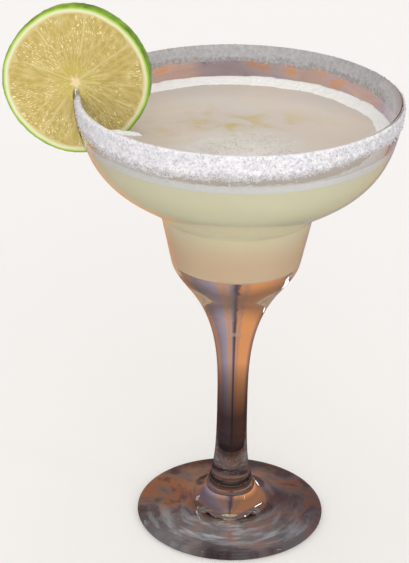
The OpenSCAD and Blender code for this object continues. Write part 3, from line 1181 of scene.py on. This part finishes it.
        # Over the lip itself salt lies thick at the front left and thins out to the back right.
        on_lip = rng.uniform(0, 1, n) < self.lip_share * self.facing(angles) * self.pressed(angles)
        tilt = np.radians(rng.uniform(15, 150, n))
        lip_r = self.form.rim_wall / 2
        reach = lip_r + self.lip_lift
        r = np.where(on_lip, self.form.rim_r - lip_r + reach * np.cos(tilt), r)
        z = np.where(on_lip, self.form.lip_z + reach * np.sin(tilt), z)
        sides = np.where(on_lip[:, None], 0.75 * sides, sides)
        local = corners[None] * sides[:, None] * (1 + rng.uniform(-0.18, 0.18, (n, 8, 3)))
        points = np.einsum("nij,nkj->nki", spin, local) + polar_points(r, angles, z)[:, None]
        faces = np.array(
            [[0, 1, 3, 2], [4, 6, 7, 5], [0, 4, 5, 1], [2, 3, 7, 6], [0, 2, 6, 4], [1, 5, 7, 3]]
        )
        quads = (np.arange(n)[:, None, None] * 8 + faces[None]).reshape(-1, 4)
        return Surface(points.reshape(-1, 3), quads)

    def build(self) -> list[Object]:
        """The crust and the crystals, one piece each."""
        finish = SaltFinish()
        crust = self.crust().build(SaltPart.CRUST.value, [finish.fines()])
        grains = self.grains().build(SaltPart.CRYSTALS.value, [finish.crystals()], smooth=False)
        return [dress(piece, "salt_rim") for piece in (crust, grains)]


@dataclass
class LimeWheel:
    """A wheel of lime, slit from under its core and pushed over the salted wall."""

    radius: float = 26.6
    thickness: float = 4.6
    up: float = 5.5
    inwards: float = 0.4
    turn: float = 9.0
    core_drop: float = 0.5
    peel: float = 2.4
    membrane: float = 0.26
    core: float = 1.5
    sink: float = 0.3
    salt_room: float = 0.75
    gap: float = 0.12
    slit_top: float = 2.6
    columns: int = 576
    face_rows: int = 84
    band_rows: int = 12
    back_rows: int = 44
    merge: float = 0.002
    segment_turns: tuple[float, ...] = (0, 38, 81, 127, 162, 203, 239, 275, 310, 338)

    def edge(self, turn: Array) -> Array:
        """Distance from the core to the peel's skin.

        The skin is a circle about the wheel's middle with two slow lobes. A ray from the core,
        which lies d below the middle, meets radius R at d sin t + sqrt(R^2 - d^2 cos^2 t).

        Args:
            turn: The rays' angles t.

        Returns:
            The distance along each.
        """
        lobes = 1 + 0.023 * np.cos(2 * turn - math.radians(116))
        lobes = lobes + 0.010 * np.cos(4 * turn - math.radians(19))
        skin = self.radius * lobes
        drop = self.core_drop
        return drop * np.sin(turn) + np.sqrt(skin**2 - (drop * np.cos(turn)) ** 2)

    def slit(self, form: GlassForm, rho: Array) -> tuple[Array, Array]:
        """The slit's two sides, as turns about the core, at a distance below it.

        They follow the wall: its inside less a gap on the right, and its outside plus the salt on
        the left. Both close in, as a square root, over the last stretch below the core.

        Args:
            form: The glass.
            rho: Distances from the core.

        Returns:
            Where the wheel starts on the right of the slit, and where it ends on the left.
        """
        z = form.height + self.up - self.core_drop - rho
        squeeze = math.cos(math.radians(self.turn))
        wall_z = np.minimum(z, form.lip_z)
        middle = form.rim_r - self.inwards
        right = (middle - form.inside_r(wall_z) + self.gap) / squeeze
        left = (middle - form.outside_r(wall_z) - self.salt_room) / squeeze
        opening = np.sqrt(np.clip((rho - self.slit_top) / 1.5, 0, 1))
        close = 0.25 * (left + right)
        right, left = close + (right - close) * opening, close + (left - close) * opening
        far = np.maximum(rho, 0.1)
        down = -math.pi / 2
        shut = rho <= self.slit_top
        start = down + np.arcsin(np.clip(np.where(shut, 0, right) / far, -1, 1))
        end = down + 2 * math.pi + np.arcsin(np.clip(np.where(shut, 0, left) / far, -1, 1))
        return start, end

    def core_edge(self, turn: Array) -> Array:
        """Radius of the white core, drawn out into short uneven points."""
        return self.core * (1 + 0.35 * ring_noise(turn, 2.2, 33, 5) + 0.25 * np.cos(5 * turn + 0.7))

    def segments(self, rho: Array, turn: Array) -> tuple[Array, Array]:
        """How deep a point lies in the flesh, and its depth below the skin, in millimetres.

        The first is the smooth least of its distances to the nearest membrane, to the pith and
        to the core's white, which rounds the segments' corners.

        Args:
            rho, turn: Distances from the core, and angles about it.

        Returns:
            Both depths.
        """
        turns = np.radians(np.array(self.segment_turns))
        off = np.abs((turn[..., None] - turns + math.pi) % (2 * math.pi) - math.pi)
        wobble = 0.25 * value_noise(rho / 5, np.degrees(turn) / 30, 91)
        thin = 0.10 * value_noise(rho / 2.2, np.degrees(turn) / 20, 97)
        buried = 0.75 * ease(value_noise(rho / 6, np.degrees(turn) / 26, 99), -0.35, 0.25)
        across = rho * np.sin(np.minimum(off.min(-1), math.pi / 2))
        to_membrane = across - self.membrane / 2 + thin + buried
        depth = self.edge(turn) - rho
        ragged = 0.4 * value_noise(np.degrees(turn) / 7, 0 * turn + 3, 98)
        notch = 0.8 * np.exp(-((across / 1.1) ** 2))
        to_pith = depth - self.peel + 1.2 * wobble + ragged - notch
        to_core = rho - self.core_edge(turn)
        sharp = 1.6
        near = sum(np.exp(-away / sharp * 3) for away in (to_membrane, to_pith, to_core))
        return -np.log(near) * sharp / 3, depth

    def relief(self, rho: Array, turn: Array, flesh: Array) -> Array:
        """Height of a cut face: sunk flesh with long domed juice sacs that lie along the radii.

        Args:
            rho, turn: Distances from the core, and angles about it.
            flesh: 1 in the flesh, 0 outside it.

        Returns:
            The height over the flat face.
        """
        long = value_noise(rho / 3.4 + 20, np.degrees(turn) / 5.5, 81)
        sacs = bubble_caps(rho / 5.2, np.degrees(turn) / 6.0, 1.0, 0.75, 83)
        return flesh * (-self.sink + 0.30 * sacs + 0.07 * long)

    def place(self, x: Array, y: Array, z: Array, form: GlassForm) -> Array:
        """From the wheel's own plane to its place at the rim: upright, turned about the vertical.

        Args:
            x, y, z: Right, up and out of the front face, from the wheel's middle.
            form: The glass.

        Returns:
            Points in the part's frame.
        """
        t = math.radians(self.turn)
        return np.stack(
            [
                self.inwards - form.rim_r + x * math.cos(t) - z * math.sin(t),
                -x * math.sin(t) - z * math.cos(t), form.height + self.up + y
            ],
            -1
        )

    def waterline(self, form: GlassForm, level: float) -> tuple[Array, Array]:
        """Where the wheel's front face meets the drink.

        Args:
            form: The glass.
            level: Height of the drink.

        Returns:
            The left and right ends of that line, as X and Y.
        """
        y = level - form.height - self.up
        right = math.sqrt(self.radius**2 - y**2) + 5.0
        left = (form.rim_r - self.inwards - form.inside_r(level)) / math.cos(math.radians(self.turn)) + 2.5
        face = np.full(2, self.thickness / 2 + 0.5)
        ends = self.place(np.array([left, right]), np.full(2, y), face, form)
        return ends[0, :2], ends[1, :2]

    def skin(self, form: GlassForm) -> Surface:
        """The closed skin of the wheel, open at the slit.

        Rows run from the core over the front face to the peel, across the peel and back over the
        rear face. A face's point at share v is at v times the edge's distance from the core, and
        columns run from the slit's right side round to its left side.

        Args:
            form: The glass.

        Returns:
            The skin, with the attributes that tell flesh, pith and peel apart.
        """
        column = np.linspace(0, 1, self.columns)[None, :]
        front = np.linspace(0, 1, self.face_rows + 1)[1:]
        back = np.linspace(0, 1, self.back_rows + 1)[1:][::-1]
        across = np.linspace(0, 1, self.band_rows + 2)[1:-1]
        share = np.concatenate([front, np.ones(self.band_rows), back])[:, None]
        nominal = -math.pi / 2 + column * 2 * math.pi
        rho = share * self.edge(nominal)
        start, end = self.slit(form, rho)
        turn = start + column * (end - start)
        rho = share * self.edge(turn)
        depth_in, depth = self.segments(rho, turn)
        flesh = ease(depth_in, 0.0, 0.55)
        half = self.thickness / 2
        corner = 0.3 * np.clip((share - 0.985) / 0.015, 0, 1) ** 2
        face = half + self.relief(rho, turn, flesh) - corner
        rear = -(half + self.relief(rho, turn + 3.0, flesh) - corner)
        band = np.zeros((self.band_rows, 1)) + (half - 0.3) * (1 - 2 * across[:, None])
        z = np.concatenate([face[: self.face_rows], band + 0 * column, rear[-self.back_rows :]])
        skin = np.zeros_like(z)
        skin[self.face_rows : -self.back_rows] = 1
        skin[self.face_rows - 1] = 0.6
        skin[-self.back_rows] = 0.6
        bulge = np.zeros_like(z)
        middle = slice(self.face_rows, -self.back_rows)
        pores = bubble_caps(turn[middle] * self.radius, z[middle], 1.3, 0.45, 95)
        bulge[middle] = 0.16 * np.sin(math.pi * across)[:, None] - 0.12 * pores
        beads = value_noise(turn * self.radius / 1.2, 0 * turn + 2, 93)
        reach = rho + bulge + 0.09 * beads * ease(share, 0.96, 1.0)
        x, y = reach * np.cos(turn), reach * np.sin(turn) - self.core_drop
        grid = self.place(x, y, z, form)
        rows = len(grid)
        centre = self.place(np.zeros(2), np.full(2, -self.core_drop), np.array([half, -half]), form)
        polar = np.stack([rho / 10, np.degrees(turn) / 12, (z > 0) * 7.0 + 0 * rho], -1)
        last = rows * self.columns
        j = np.arange(self.columns - 1)
        base = (rows - 1) * self.columns
        front_fan = np.stack([np.full(len(j), last), j, j + 1], 1)
        back_fan = np.stack([base + j + 1, base + j, np.full(len(j), last + 1)], 1)
        quads = grid_quads(rows, self.columns, wrap_columns=False)[:, ::-1]
        values = {
            "flesh": np.append(flesh.ravel() * (1 - skin.ravel()), [0, 0]),
            "peel_depth": np.append(np.clip(depth, 0, None).ravel() / 10, [2, 2]),
            "skin": np.append(skin.ravel(), [0, 0]),
            "heart": np.append(1 - ease(rho - self.core_edge(turn), -0.3, 0.45).ravel(), [1, 1]),
            "polar": np.concatenate([polar.reshape(-1, 3), np.zeros((2, 3))])
        }
        points = np.concatenate([grid.reshape(-1, 3), centre])
        cut = self.slit_walls(grid, rho, turn)
        body = Surface(points, quads, np.concatenate([front_fan, back_fan]), values)
        return body.joined(cut)

    def slit_walls(self, grid: Array, rho: Array, turn: Array) -> Surface:
        """The two cut walls of the slit: straight lines from the front face's edge to the rear's.

        Args:
            grid: The wheel's points, of shape (rows, columns, 3).
            rho: Their distances from the core.
            turn: Their turns about the core.

        Returns:
            Both walls, with the attributes of cut flesh and peel.
        """
        made: Optional[Surface] = None
        lines = 6
        for column in (0, -1):
            front = grid[: self.face_rows, column]
            front_rho = rho[: self.face_rows, column]
            back = grid[::-1][: self.back_rows, column]
            back_rho = rho[::-1][: self.back_rows, column]
            open_rows = front_rho > self.slit_top
            front, front_rho = front[open_rows], front_rho[open_rows]
            matched = np.stack([np.interp(front_rho, back_rho, back[:, k]) for k in range(3)], 1)
            share = np.linspace(0, 1, lines)[None, :, None]
            wall = front[:, None] * (1 - share) + matched[:, None] * share
            angle = turn[: self.face_rows, column][open_rows]
            _, depth = self.segments(front_rho, angle)
            spread = np.ones((1, lines))
            flesh = ease(depth - self.peel, 0, 0.5)[:, None] * spread
            polar = np.stack(
                [
                    front_rho[:, None] / 10 * spread,
                    np.linspace(0, 1.5, lines)[None, :] + 0 * front_rho[:, None] + column,
                    3 * np.ones((len(front), lines))
                ],
                -1
            )
            quads = grid_quads(len(front), lines, wrap_columns=False)
            part = Surface(
                wall.reshape(-1, 3), quads if column == 0 else quads[:, ::-1],
                attributes={
                    "flesh": flesh.ravel(), "peel_depth": (depth[:, None] / 10 * spread).ravel(),
                    "skin": np.zeros(len(front) * lines), "heart": np.zeros(len(front) * lines),
                    "polar": polar.reshape(-1, 3)
                }
            )
            made = part if made is None else made.joined(part)
        return made

    def build(self, form: GlassForm) -> Object:
        """The wheel as one closed mesh, with its seam and slit edges merged.

        Args:
            form: The glass it hangs on.

        Returns:
            The piece.
        """
        piece = self.skin(form).build("lime_wheel_slice", [LimeFinish().material()])
        merged = bmesh.new()
        merged.from_mesh(piece.data)
        bmesh.ops.remove_doubles(merged, verts=merged.verts, dist=self.merge * MM)
        merged.to_mesh(piece.data)
        merged.free()
        return dress(piece, "lime_wheel")


# ---- studio --------------------------------------------------------------------------------------


class Softbox(Enum):
    """The studio's small lights: place, size in metres, power in watts and colour."""

    WINDOW = ((-1.1, 0.9, 0.8), (0.18, 0.3), 0.6, "#eef4ff")
    LAMP = ((1.0, -0.5, 0.7), (0.1, 0.3), 0.5, "#fff4e6")


class Fill(Enum):
    """The wide soft light that only matt things catch: its bearing, how sharp it is, its strength."""

    OVERHEAD = ((-0.12, 0.12, 1.0), 4.0, 0.95)
    FRONT = ((0.12, -1.0, 0.2), 6.0, 3.45)


@dataclass
class Studio:
    """A plain pale floor, soft lights and the camera."""

    floor_half: float = 6.0
    floor: str = "#eeedeb"
    fill_base: float = 0.75
    elevation: float = 25.571
    distance: float = 708.82
    roll: float = 1.006
    aim_x: float = -11.39
    aim_z: float = 99.16
    lens: float = 122.56
    sensor: float = 36.0
    lamp_aim_z: float = 0.1
    patch_mm: float = 21.74
    far_patch_mm: float = 19.23

    def camera(self) -> Object:
        """A long lens that looks down on the rim, level apart from a slight roll."""
        el, roll = math.radians(self.elevation), math.radians(self.roll)
        back = np.array([0, -math.cos(el), math.sin(el)])
        up = np.array([0, math.sin(el), math.cos(el)])
        side = np.array([1.0, 0, 0])
        right = math.cos(roll) * side + math.sin(roll) * up
        above = -math.sin(roll) * side + math.cos(roll) * up
        place = (np.array([self.aim_x, 0, self.aim_z]) + self.distance * back) * MM
        data = bpy.data.cameras.new("camera")
        data.lens, data.sensor_width = self.lens, self.sensor
        data.clip_start, data.clip_end = 0.01, 50.0
        made = stand("camera", data, (right, above, back), place)
        bpy.context.scene.camera = made
        return made

    def room_colours(self, tree: NodeTree, place: NodeSocket) -> Node:
        """The room that clear glass bends and mirrors: upright bands of plum, rust and lavender.

        The bands go by the bearing about the glass, atan2(y, x) as a share of a whole turn, which
        a noise along the bearing and the distance breaks up.

        Args:
            tree: The tree the nodes join.
            place: A point on the floor, or a direction in the world.

        Returns:
            The node that gives the colour.
        """
        axes = add_node(tree, "SeparateXYZ", {"Vector": place})
        bearing = maths(tree, "ARCTAN2", axes.outputs["Y"], axes.outputs["X"])
        share = maths(tree, "MULTIPLY_ADD", bearing, 0.5 / math.pi, 0.5)
        heading = add_node(tree, "VectorMath", {"operation": "NORMALIZE", 0: place})
        patches = add_node(
            tree, "TexNoise", {"Scale": 14.0, "Detail": 2.0, "Roughness": 0.6, "Vector": heading}
        )
        shifted = maths(tree, "MULTIPLY_ADD", patches, 0.016, -0.008)
        turn = maths(tree, "ADD", share, shifted)
        return set_ramp(
            add_node(tree, "ValToRGB", {"Fac": turn}),
            [
                (0.0, "#6b5a5e"), (0.25, "#9a8b84"), (0.5, "#6b5a60"), (0.58, "#8a6a5c"), (0.62, "#b5805c"),
                (0.66, "#8c7a86"), (0.71, "#a695a2"), (0.721, "#d3955f"), (0.726, "#a8939a"),
                (0.732, "#d3955f"), (0.738, "#a3908f"), (0.744, "#8d7c80"), (0.749, "#43343c"),
                (0.754, "#7d6263"), (0.759, "#dd935c"), (0.768, "#b58a72"), (0.78, "#e0965e"),
                (0.85, "#e39b66"), (0.9, "#8d6c60"), (1.0, "#6b5a5e")
            ]
        )

    def painted_under_foot(self, tree: NodeTree, place: NodeSocket) -> Node:
        """Painted reflection that the foot shows of what lies close under it: mottled plum, grey and
        rust, a centimetre or two across.

        Towards the front it pales and takes silver arcs about the stem, which are painted glints, and
        to the right, right under the stem and at the far edge it darkens with painted shade.

        Args:
            tree: The tree the nodes join.
            place: A point on the floor.

        Returns:
            The node that gives the colour.
        """
        patches = noise_at(tree, place, self.patch_mm, detail=5.0, roughness=0.65, distortion=0.3)
        mottled = set_ramp(
            add_node(tree, "ValToRGB", {"Fac": patches}),
            [
                (0.34, "#20161a"), (0.44, "#463639"), (0.5, "#645856"), (0.57, "#8a583f"),
                (0.64, "#493b40"), (0.72, "#7a7371")
            ]
        )
        axes = add_node(tree, "SeparateXYZ", {"Vector": place})
        # Painted highlights: paler towards the front, with silver arcs about the stem as painted glints.
        front = map_range(tree, axes.outputs["Y"], (-32 * MM, 2 * MM), (0.7, 0.0))
        edge = map_range(tree, axes.outputs["Y"], (-31 * MM, -20 * MM), (0.1, 1.0))
        pale = maths(tree, "MULTIPLY", front, edge)
        reach = add_node(tree, "VectorMath", {"operation": "LENGTH", 0: place})
        bearing = maths(tree, "ARCTAN2", axes.outputs["Y"], axes.outputs["X"])
        rings = maths(tree, "MULTIPLY", reach, 1 / (6 * MM))
        swept = add_node(tree, "CombineXYZ", {"X": rings, "Y": bearing})
        arcs = add_node(tree, "TexNoise", {"Scale": 1.3, "Detail": 4.0, "Roughness": 0.6, "Vector": swept})
        picked = map_range(tree, arcs, (0.49, 0.62), (0.0, 1.5))
        painted_glint_arcs = maths(tree, "MULTIPLY", picked, pale, clamp=True)
        # Painted shade: darker to the right, right under the stem and at the far edge.
        right = map_range(tree, axes.outputs["X"], (0.0, 34 * MM), (0.0, 0.6))
        under = map_range(tree, reach, (9 * MM, 14 * MM), (0.3, 0.0))
        rear = map_range(tree, axes.outputs["Y"], (25 * MM, 34 * MM), (0.0, 0.9))
        painted_shade_under_and_behind = maths(tree, "MAXIMUM", under, rear)
        coats = [(pale, "#8f8f91"), (painted_glint_arcs, "#b9bcc2"), (right, "#3c2e33"), (painted_shade_under_and_behind, "#1a1113")]
        return painted(tree, mottled, coats)

    def far_patches(self, tree: NodeTree, place: NodeSocket) -> Node:
        """Painted reflection of what lies a forearm behind the glass: mauve grey, with rust patches a
        centimetre across.

        Args:
            tree: The tree the nodes join.
            place: A point on the floor.

        Returns:
            The node that gives the colour.
        """
        drawn_out = add_node(tree, "Mapping", {"Scale": (1.0, 0.42, 1.0), "Vector": place})
        patches = noise_at(tree, drawn_out, self.far_patch_mm, detail=1.0, roughness=0.5)
        return set_ramp(
            add_node(tree, "ValToRGB", {"Fac": patches}),
            [(0.3, "#6d5a60"), (0.38, "#ab989a"), (0.56, "#b8a29e"), (0.63, "#d0956c"), (0.7, "#d0956c")]
        )

    def through_glass(self, tree: NodeTree) -> Node:
        """1 for what clear glass or a gloss shows of the studio, and 0 for light on matt things.

        Args:
            tree: The tree the nodes join.

        Returns:
            The node that gives it.
        """
        path = add_node(tree, "LightPath")
        sharp = maths(tree, "MAXIMUM", path.outputs["Is Transmission Ray"], path.outputs["Is Glossy Ray"])
        first = maths(tree, "LESS_THAN", path.outputs["Diffuse Depth"], 0.5)
        return maths(tree, "MULTIPLY", sharp, first)

    def paper(self) -> Material:
        """Matt pale paper. What glass bends or mirrors of it is a painted reflection instead: a dim room,
        emitted so that it glows for glass and gloss rays though it is no lamp.
        """
        material, tree, place = new_material("matt_studio_paper")
        pale = add_node(tree, "BsdfDiffuse", {"Color": linear(self.floor)})
        far = add_node(tree, "VectorMath", {"operation": "LENGTH", 0: place})
        share = map_range(tree, far, (40 * MM, 60 * MM))
        # Painted shade: the room that glass shows darkens to near black close round the glass.
        light = map_range(tree, far, (75 * MM, 170 * MM), (0.06, 1.0))
        distant = add_node(
            tree, "Mix",
            {"data_type": "RGBA", 6: linear("#2a1d20"), 0: light, 7: self.room_colours(tree, place)}
        )
        seen = add_node(
            tree, "Mix", {"data_type": "RGBA", 0: share, 6: self.painted_under_foot(tree, place), 7: distant}
        )
        axes = add_node(tree, "SeparateXYZ", {"Vector": place})
        ahead = maths(tree, "COMPARE", axes.outputs["Y"], 522 * MM, 70 * MM)
        beside = maths(tree, "COMPARE", axes.outputs["X"], 0.0, 115 * MM)
        both = maths(tree, "MULTIPLY", ahead, beside)
        behind = maths(tree, "MULTIPLY", both, 0.65)
        calmer = add_node(
            tree, "Mix", {"data_type": "RGBA", 0: behind, 6: seen, 7: self.far_patches(tree, place)}
        )
        # Painted reflection: the floor emits the room, so it glows for glass and gloss rays.
        room = add_node(tree, "Emission", {"Strength": 1.0, "Color": calmer})
        mix = add_node(tree, "MixShader", {0: self.through_glass(tree), 1: pale, 2: room})
        add_node(tree, "OutputMaterial", {"Surface": mix})
        return material

    def ground(self) -> Object:
        """The floor: a wide flat sheet at the foot's height."""
        h = self.floor_half / MM
        points = np.array([[-h, -h, 0], [h, -h, 0], [h, h, 0], [-h, h, 0]])
        sheet = Surface(points, np.array([[0, 1, 2, 3]])).build("floor", [self.paper()])
        return sheet

    def light(self, box: Softbox) -> Object:
        """One square softbox that faces the middle of the glass.

        Args:
            box: Which one.

        Returns:
            The lamp.
        """
        place, size, power, colour = box.value
        data = bpy.data.lights.new(box.name.lower(), "AREA")
        data.shape = "RECTANGLE"
        data.size, data.size_y = size
        data.energy = power
        data.color = linear(colour)[:3]
        back = np.array(place) - (0, 0, self.lamp_aim_z)
        back /= np.linalg.norm(back)
        side = np.cross((0, 0, 1), back)
        side /= np.linalg.norm(side)
        return stand(box.name.lower(), data, (side, np.cross(back, side), back), place)

    def fill_strength(self, tree: NodeTree, heading: NodeSocket) -> Node:
        """Strength of the soft light from a direction: a base, and a rounded lobe for each Fill.

        A lobe is its strength times max(0, cosine of the angle to its bearing)^sharpness.

        Args:
            tree: The tree the nodes join.
            heading: The direction, as a unit vector.

        Returns:
            The node that gives the strength.
        """
        total = self.fill_base
        for fill in Fill:
            bearing, sharpness, strength = fill.value
            unit = np.array(bearing) / np.linalg.norm(bearing)
            cosine = add_node(tree, "VectorMath", {"operation": "DOT_PRODUCT", 1: tuple(unit), 0: heading})
            ahead = maths(tree, "MAXIMUM", cosine, 0.0)
            lobe = maths(tree, "POWER", ahead, sharpness)
            total = maths(tree, "MULTIPLY_ADD", lobe, strength, total)
        return total

    def world(self) -> None:
        """A pale backdrop to the eye, and a dim warm room to the glass and the drink."""
        world = bpy.data.worlds.new("studio")
        bpy.context.scene.world = world
        world.use_nodes = True
        tree = world.node_tree
        tree.nodes.clear()
        pale = add_node(tree, "Background", {"Color": linear(self.floor), "Strength": 0.9})
        place = add_node(tree, "TexCoord").outputs["Object"]
        fill = add_node(
            tree, "Background", {"Color": linear("#ebe9e8"), "Strength": self.fill_strength(tree, place)}
        )
        climb = add_node(tree, "SeparateXYZ", {"Vector": place})
        upper = map_range(tree, climb.outputs["Z"], (0.04, 0.4), (0.0, 0.6))
        shaded = painted(tree, self.room_colours(tree, place), [(upper, "#3a2e37")])
        room = add_node(tree, "Background", {"Strength": 1.0, "Color": shaded})
        path = add_node(tree, "LightPath")
        dim = add_node(tree, "MixShader", {0: self.through_glass(tree), 1: fill, 2: room})
        mix = add_node(tree, "MixShader", {0: path.outputs["Is Camera Ray"], 1: dim, 2: pale})
        add_node(tree, "OutputWorld", {"Surface": mix})

    def build(self) -> None:
        """Floor, lights, world and camera, with colours shown as they are."""
        self.camera()
        self.ground()
        for box in Softbox:
            self.light(box)
        self.world()
        scene = bpy.context.scene
        scene.view_settings.view_transform = "Standard"
        scene.cycles.max_bounces = 16
        scene.cycles.transmission_bounces = 16
        scene.cycles.glossy_bounces = 6
        scene.cycles.diffuse_bounces = 4
        scene.cycles.transparent_max_bounces = 16


# ---- the whole -----------------------------------------------------------------------------------


def main() -> None:
    """Builds the studio, then each sub-assembly in order."""
    logging.basicConfig(level=logging.INFO, format="%(name)s: %(message)s")
    Studio().build()
    form = GlassForm()
    lime = LimeWheel()
    Glass(form).build()
    Drink(form).build()
    Froth(form).build(lime)
    SaltRim(form).build()
    lime.build(form)


if __name__ == "__main__":
    main()
